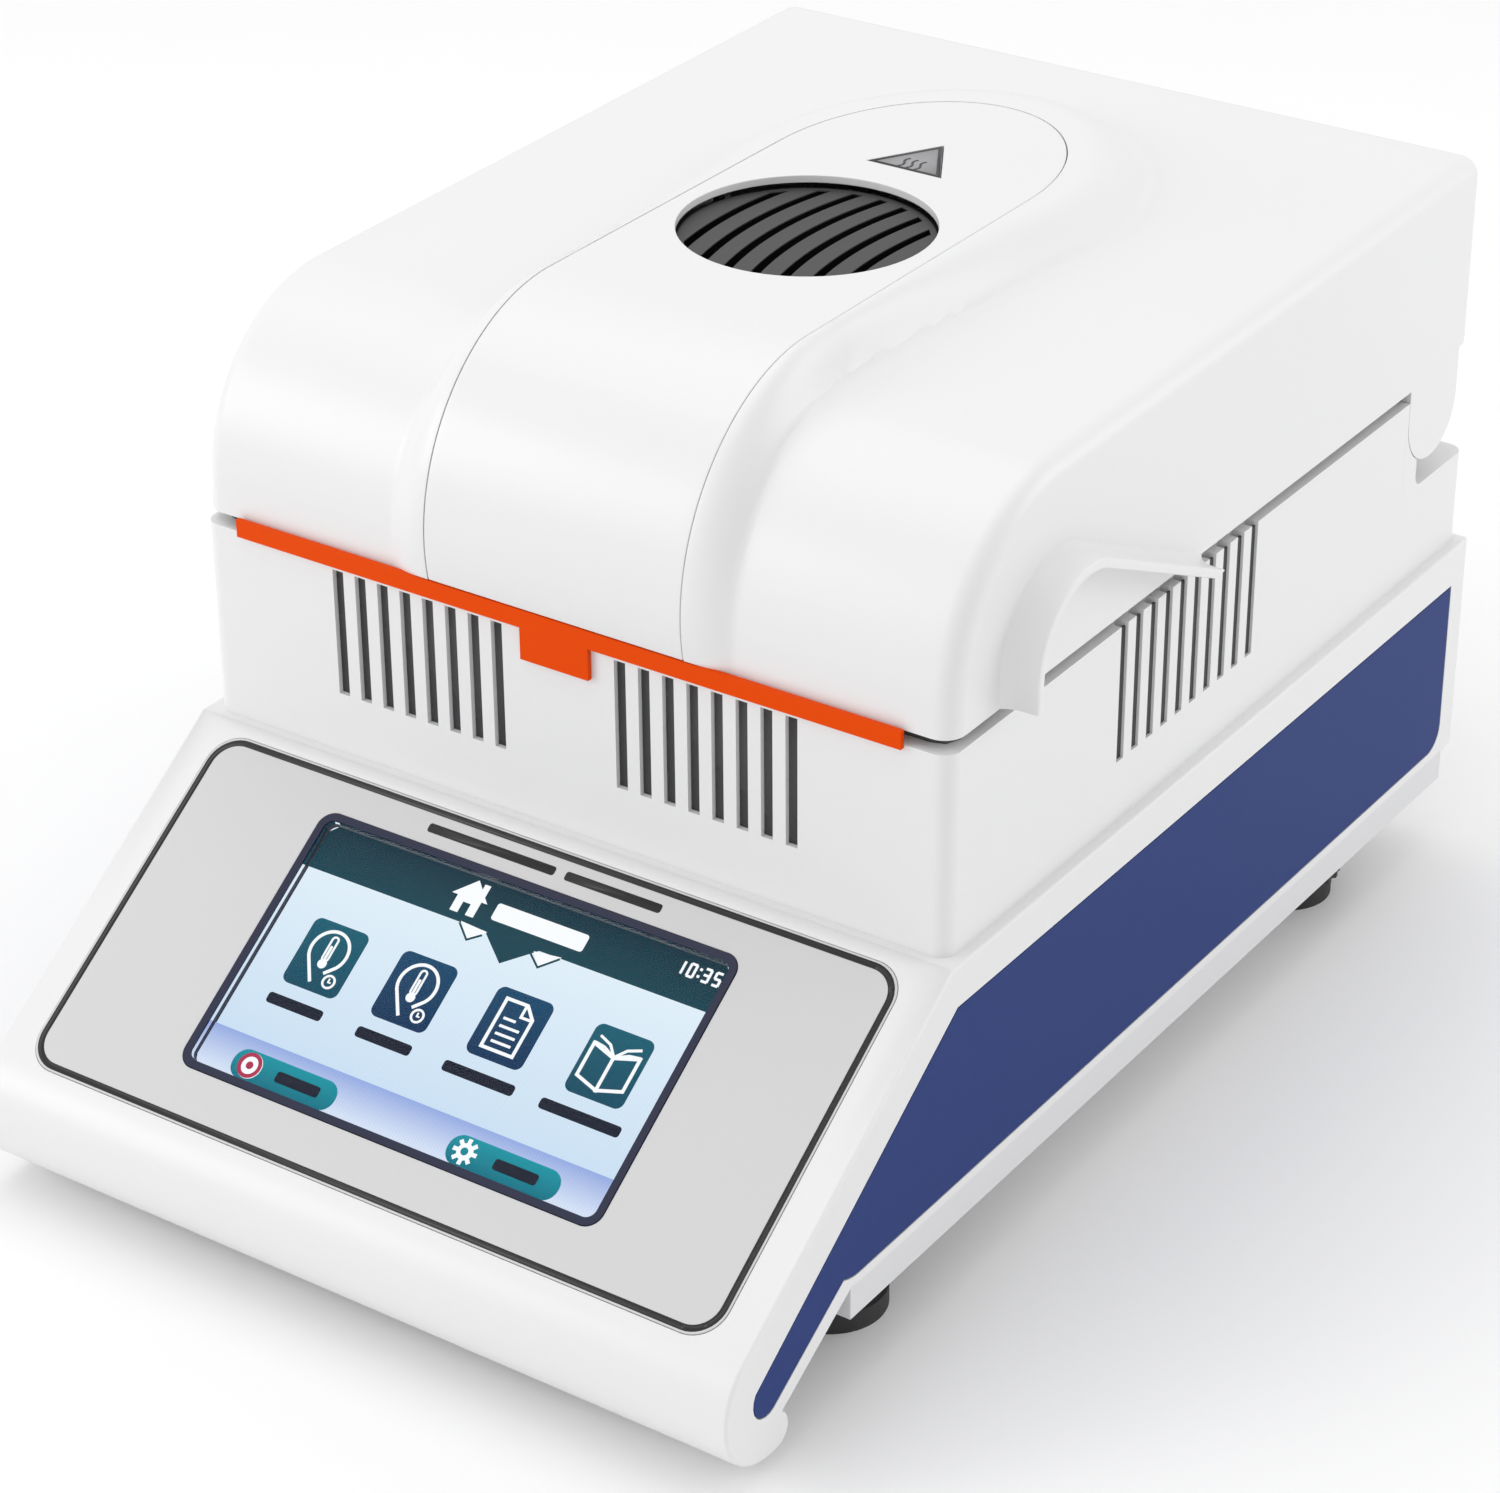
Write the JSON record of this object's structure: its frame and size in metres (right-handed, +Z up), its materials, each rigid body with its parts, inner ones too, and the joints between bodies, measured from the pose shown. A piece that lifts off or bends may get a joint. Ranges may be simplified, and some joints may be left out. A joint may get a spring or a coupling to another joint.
{
  "type": "grain moisture meter",
  "caption": "Tabletop halogen moisture analyser for grain: wedge base with sloping touch screen, slotted weighing chamber, and a hinged heater lid with a round vent.",
  "frame": {"origin": "on the table plane under the middle of the object's bounding box", "axes": "+Z up; the control panel and the operator are towards -Y, the mains inlet towards +Y; +X is the operator's right"},
  "size_m": [0.2158, 0.3264, 0.1955],
  "materials": {
    "body_white": "satin, fine texture",
    "panel_white": "satin",
    "side_blue": "satin",
    "overlay_grey": "satin film",
    "screen_frame": "gloss",
    "screen_glass": "clear",
    "screen_module": "satin",
    "circuit_board": "semi-gloss",
    "component": "semi-gloss",
    "aluminium": "satin",
    "steel": "brushed",
    "bright_steel": "polished",
    "tray_grey": "satin",
    "deck_grey": "satin",
    "black_plastic": "matte",
    "grille_black": "satin",
    "mark_grey": "satin",
    "trim_orange": "satin",
    "quartz": "clear",
    "heater_glass": "clear",
    "ceramic": "matte",
    "brass": "satin",
    "rubber": "matte",
    "level_liquid": "clear",
    "rocker_red": "gloss",
    "pan_aluminium": "bright"
  },
  "bodies": {
    "base": {"base_shell": "body_white", "base_plate": "tray_grey", "side_panel_left": "side_blue", "side_panel_right": "side_blue", "control_overlay": "overlay_grey", "screen_frame": "screen_frame", "touch_glass": "screen_glass", "display_module": "screen_module", "display_board": "circuit_board", "main_board": "circuit_board", "power_supply": "component", "heatsink": "aluminium", "load_cell": "aluminium", "load_cell_block": "aluminium", "tower_shell": "body_white", "chamber_deck": "deck_grey", "chamber_floor": "deck_grey", "draft_shield": "aluminium", "hinge_shaft": "steel", "hinge_brackets": "steel", "hinge_cover": "body_white", "lid_switch": "black_plastic", "level_housing": "black_plastic", "level_vial": "level_liquid", "rear_panel": "black_plastic", "mains_inlet": "black_plastic", "inlet_pins": "brass", "switch_frame": "black_plastic", "serial_port": "steel", "usb_port": "steel", "front_feet": "rubber", "foot_nuts": "brass", "case_screws": "steel"},
    "lid": {"lid_shell": "body_white", "lid_centre_panel": "panel_white", "vent_grille": "grille_black", "vent_duct": "black_plastic", "heat_mark": "mark_grey", "trim_strip": "trim_orange", "lid_liner": "panel_white", "reflector": "bright_steel", "halogen_lamp": "quartz", "lamp_holders": "ceramic", "heater_glass": "heater_glass", "glass_retainer": "steel", "temperature_probe": "steel", "hinge_bushes": "brass", "lid_screws": "steel"},
    "pan_carrier": {"pan_stem": "steel", "pan_support": "steel"},
    "pan": {"sample_pan": "pan_aluminium"},
    "pan_handler": {"pan_handler": "black_plastic"},
    "switch_plunger": {"switch_plunger": "rocker_red"},
    "power_rocker": {"power_rocker": "rocker_red"},
    "fuse_drawer": {"fuse_drawer": "black_plastic"},
    "foot_left": {"foot_pad_left": "rubber"},
    "foot_left_screw": {"foot_screw_left": "black_plastic"},
    "foot_right": {"foot_pad_right": "rubber"},
    "foot_right_screw": {"foot_screw_right": "black_plastic"}
  },
  "joints": [
    {"name": "lid_hinge", "type": "hinge", "parent": "base", "child": "lid", "pos_m": [0, 0.14275, 0.1285], "axis": [-1, 0, 0], "range_deg": [0, 75]},
    {"name": "weigh_travel", "type": "slide", "parent": "base", "child": "pan_carrier", "axis": [0, 0, 1], "range_m": [-0.0003, 0], "stiffness_N_per_m": 20000, "springref_m": 0.0001},
    {"name": "pan_lift", "type": "slide", "parent": "pan_carrier", "child": "pan", "axis": [0, 0, 1], "range_m": [0, 0.012]},
    {"name": "handler_lift", "type": "slide", "parent": "base", "child": "pan_handler", "axis": [0, 0, 1], "range_m": [0, 0.004]},
    {"name": "lid_switch_press", "type": "slide", "parent": "base", "child": "switch_plunger", "axis": [0, 0, 1], "range_m": [-0.0025, 0], "stiffness_N_per_m": 200, "springref_m": 0.003},
    {"name": "power_switch", "type": "hinge", "parent": "base", "child": "power_rocker", "pos_m": [0.022, 0.15425, 0.057], "axis": [-1, 0, 0], "range_deg": [0, 20]},
    {"name": "fuse_drawer_slide", "type": "slide", "parent": "base", "child": "fuse_drawer", "axis": [0, 1, 0], "range_m": [0, 0.015]},
    {"name": "foot_left_level", "type": "slide", "parent": "base", "child": "foot_left", "axis": [0, 0, -1], "range_m": [0, 0.006]},
    {"name": "foot_left_turn", "type": "hinge", "parent": "foot_left", "child": "foot_left_screw", "pos_m": [-0.08, 0.118, 0.01], "axis": [0, 0, 1], "range_deg": [0, 1720]},
    {"name": "foot_right_level", "type": "slide", "parent": "base", "child": "foot_right", "axis": [0, 0, -1], "range_m": [0, 0.006]},
    {"name": "foot_right_turn", "type": "hinge", "parent": "foot_right", "child": "foot_right_screw", "pos_m": [0.08, 0.118, 0.01], "axis": [0, 0, 1], "range_deg": [0, 1720]}
  ],
  "couplings": [
    {"joint": "foot_left_level", "follows": "foot_left_turn", "m_per_rad": 0.00019894},
    {"joint": "foot_right_level", "follows": "foot_right_turn", "m_per_rad": 0.00019894}
  ]
}
